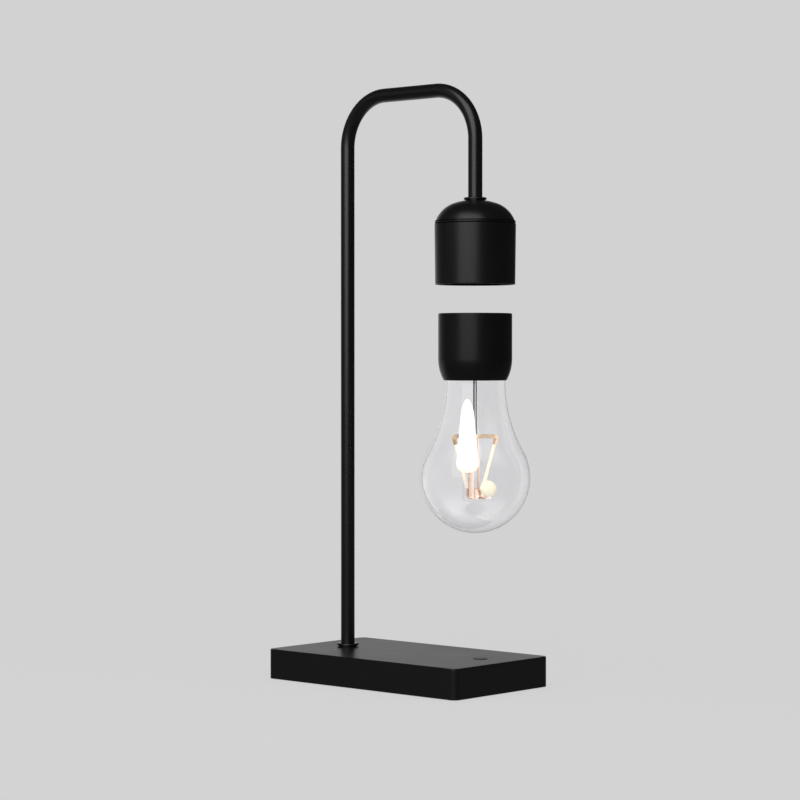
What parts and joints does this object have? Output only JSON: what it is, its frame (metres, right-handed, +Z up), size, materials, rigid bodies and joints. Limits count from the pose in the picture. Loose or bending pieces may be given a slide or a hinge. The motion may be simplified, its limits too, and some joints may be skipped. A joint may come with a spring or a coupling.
{
  "type": "levitating lamp",
  "caption": "Desk lamp whose clear glass bulb floats below a magnet pod hung from a bent-tube arm, over a flat rectangular base with a push button and a charging coil.",
  "frame": {"origin": "on the standing surface, under the middle of the base's rectangle", "axes": "+Z up; +X along the base from the pole towards the bulb; +Y across the base, towards the inlet"},
  "size_m": [0.1919, 0.101, 0.4249],
  "materials": {
    "black_plastic": "satin",
    "black_tube": "gloss",
    "steel": "satin",
    "rubber_pad": "matte",
    "copper": "satin",
    "gold_plate": "satin",
    "ferrite": "matte",
    "nickel": "gloss",
    "circuit_board": "satin",
    "component_black": "matte",
    "white_plastic": "satin",
    "clear_glass": "gloss",
    "warm_light": "satin",
    "white_light": "satin"
  },
  "bodies": {
    "stand": {"arm_cable": "component_black", "arm_tube": "black_tube", "ballast_plate": "steel", "ballast_screws": "steel", "base_board": "circuit_board", "base_housing": "black_plastic", "base_pad": "rubber_pad", "bias_magnet": "nickel", "board_capacitors": "component_black", "board_chips": "component_black", "board_screws": "steel", "board_spacers": "gold_plate", "bobbin_pins": "gold_plate", "bottom_plate": "steel", "cable_socket": "white_plastic", "charging_coil": "copper", "coil_ferrite": "ferrite", "control_board": "circuit_board", "control_chips": "component_black", "cover_screws": "steel", "dc_jack": "component_black", "hall_board": "circuit_board", "hall_ribbon": "gold_plate", "hall_sensor": "component_black", "jack_pin": "nickel", "lift_bobbin": "white_plastic", "lift_coil": "copper", "lift_core": "steel", "pod_body": "black_plastic", "pod_collar": "black_tube", "pod_cover": "black_plastic", "pod_dome": "black_plastic", "pod_nut": "steel", "pod_screws": "steel", "pod_socket": "white_plastic", "pole_bracket": "steel", "pole_collar": "black_tube", "pole_nut": "steel", "power_coil": "copper", "tact_switch": "component_black"},
    "button": {"mode_button": "black_plastic", "switch_plunger": "white_plastic"},
    "float": {"float_magnet": "nickel"},
    "bulb": {"cap_shell": "black_plastic", "cap_lid": "black_plastic", "magnet_holder": "white_plastic", "receiver_coil": "copper", "receiver_board": "circuit_board", "receiver_screws": "steel", "receiver_chips": "component_black", "lead_wires": "copper", "glass_bulb": "clear_glass", "bulb_stem": "clear_glass", "upper_anchor": "gold_plate", "lower_hub": "copper", "filaments": "warm_light", "light_bracket": "copper", "flame_led": "white_light", "bead_led": "warm_light"}
  },
  "joints": [
    {"name": "button_press", "type": "slide", "parent": "stand", "child": "button", "axis": [0, 0, -1], "range_m": [0, 0.0008], "stiffness_N_per_m": 200, "springref_m": -0.0005},
    {"name": "float_lift", "type": "slide", "parent": "stand", "child": "float", "axis": [0, 0, 1], "range_m": [-0.03, 0.0194], "stiffness_N_per_m": 400, "springref_m": 0.00424},
    {"name": "bulb_spin", "type": "hinge", "parent": "float", "child": "bulb", "pos_m": [0.064, 0, 0.25], "axis": [0, 0, 1], "continuous": true}
  ]
}
